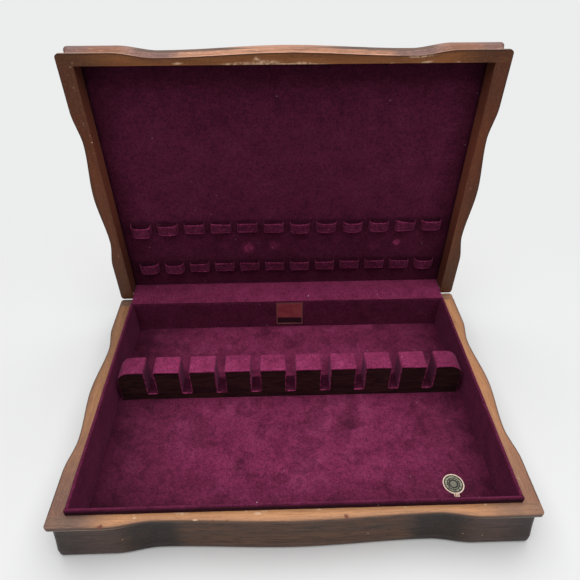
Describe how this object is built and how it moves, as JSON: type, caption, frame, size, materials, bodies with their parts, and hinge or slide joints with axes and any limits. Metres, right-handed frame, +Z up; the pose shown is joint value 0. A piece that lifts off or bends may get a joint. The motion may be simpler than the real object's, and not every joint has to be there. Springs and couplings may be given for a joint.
{
  "type": "silverware chest",
  "caption": "Wooden flatware chest with wavy moulded sides, velvet lining, a notched knife rack and a hinged lid with ribbon knife loops.",
  "frame": {"origin": "centre of the underside, on the table", "axes": "+Z up, +X to the user's right, +Y towards the hinged back"},
  "size_m": [0.4, 0.3067, 0.3248],
  "materials": {
    "case_wood": "dark shaded stain under satin lacquer",
    "panel_wood": "bare plywood",
    "dowel_wood": "bare beech",
    "rack_wood": "dark stain, matt",
    "velvet": "brushed burgundy velvet on board",
    "ribbon": "velvet ribbon",
    "label_paper": "satin printed paper, blank",
    "seal_paper": "foil-faced paper, plain rings",
    "hinge_brass": "aged, satin"
  },
  "bodies": {
    "base": {"base_front_rail": "case_wood", "base_back_rail": "case_wood", "base_left_rail": "case_wood", "base_right_rail": "case_wood", "base_bottom_panel": "panel_wood", "base_corner_dowels": "dowel_wood", "floor_pad": "velvet", "lining_front": "velvet", "lining_back": "velvet", "lining_left": "velvet", "lining_right": "velvet", "knife_rack_bar": "rack_wood", "knife_rack_cover": "velvet", "blank_label": "label_paper", "round_seal": "seal_paper", "hinge_left_base_leaf": "hinge_brass", "hinge_right_base_leaf": "hinge_brass", "hinge_left_pin": "hinge_brass", "hinge_right_pin": "hinge_brass", "base_hinge_screws": "hinge_brass"},
    "lid": {"lid_front_rail": "case_wood", "lid_back_rail": "case_wood", "lid_left_rail": "case_wood", "lid_right_rail": "case_wood", "lid_top_panel": "case_wood", "lid_corner_dowels": "dowel_wood", "lid_lining_panel": "velvet", "knife_loops_upper": "ribbon", "knife_loops_lower": "ribbon", "hinge_left_lid_leaf": "hinge_brass", "hinge_right_lid_leaf": "hinge_brass", "lid_hinge_screws": "hinge_brass", "hinge_cover": "velvet"}
  },
  "joints": [
    {"name": "lid_hinge", "type": "hinge", "parent": "base", "child": "lid", "pos_m": [0, 0.1391, 0.04715], "axis": [1, 0, 0], "range_deg": [0, 90], "deforming": ["hinge_cover"]}
  ]
}
